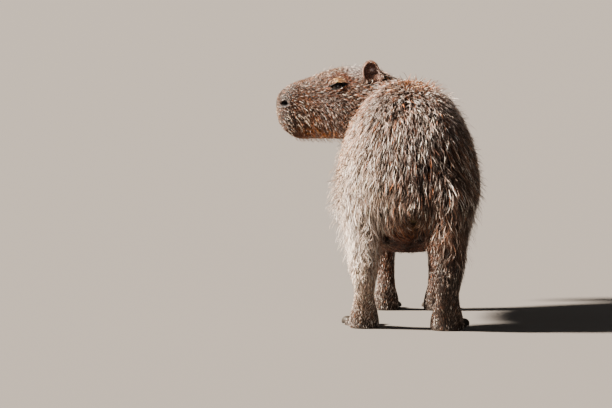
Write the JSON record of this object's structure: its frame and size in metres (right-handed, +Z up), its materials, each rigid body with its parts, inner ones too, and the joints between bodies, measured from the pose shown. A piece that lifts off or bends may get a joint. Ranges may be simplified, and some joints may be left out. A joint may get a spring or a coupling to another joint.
{
  "type": "capybara",
  "caption": "Life-size museum model of a standing capybara, its head turned to its left over the shoulder, with a long coarse coat.",
  "frame": {"origin": "centre of the bounding box on the floor that the four feet stand on", "axes": "+Z up; the body points along -Y with the rump at +Y; the animal's left side is +X, and the head points along +X"},
  "size_m": [0.4796, 0.8948, 0.5943],
  "materials": {
    "coat": "coarse fur over skin",
    "foot": "sparse short fur over bare skin",
    "ear_skin": "thin bare skin",
    "eye": "wet and glossy",
    "claw": "worn keratin"
  },
  "bodies": {
    "root": {"ear_left": "ear_skin", "ear_right": "ear_skin", "eye_left": "eye", "eye_right": "eye", "foreclaw_left_1": "claw", "foreclaw_left_2": "claw", "foreclaw_left_3": "claw", "foreclaw_left_4": "claw", "foreclaw_right_1": "claw", "foreclaw_right_2": "claw", "foreclaw_right_3": "claw", "foreclaw_right_4": "claw", "forefoot_left": "foot", "forefoot_right": "foot", "foreleg_left": "coat", "foreleg_right": "coat", "head": "coat", "hindclaw_left_1": "claw", "hindclaw_left_2": "claw", "hindclaw_left_3": "claw", "hindclaw_right_1": "claw", "hindclaw_right_2": "claw", "hindclaw_right_3": "claw", "hindfoot_left": "foot", "hindfoot_right": "foot", "hindleg_left": "coat", "hindleg_right": "coat", "neck": "coat", "torso": "coat"}
  },
  "joints": []
}
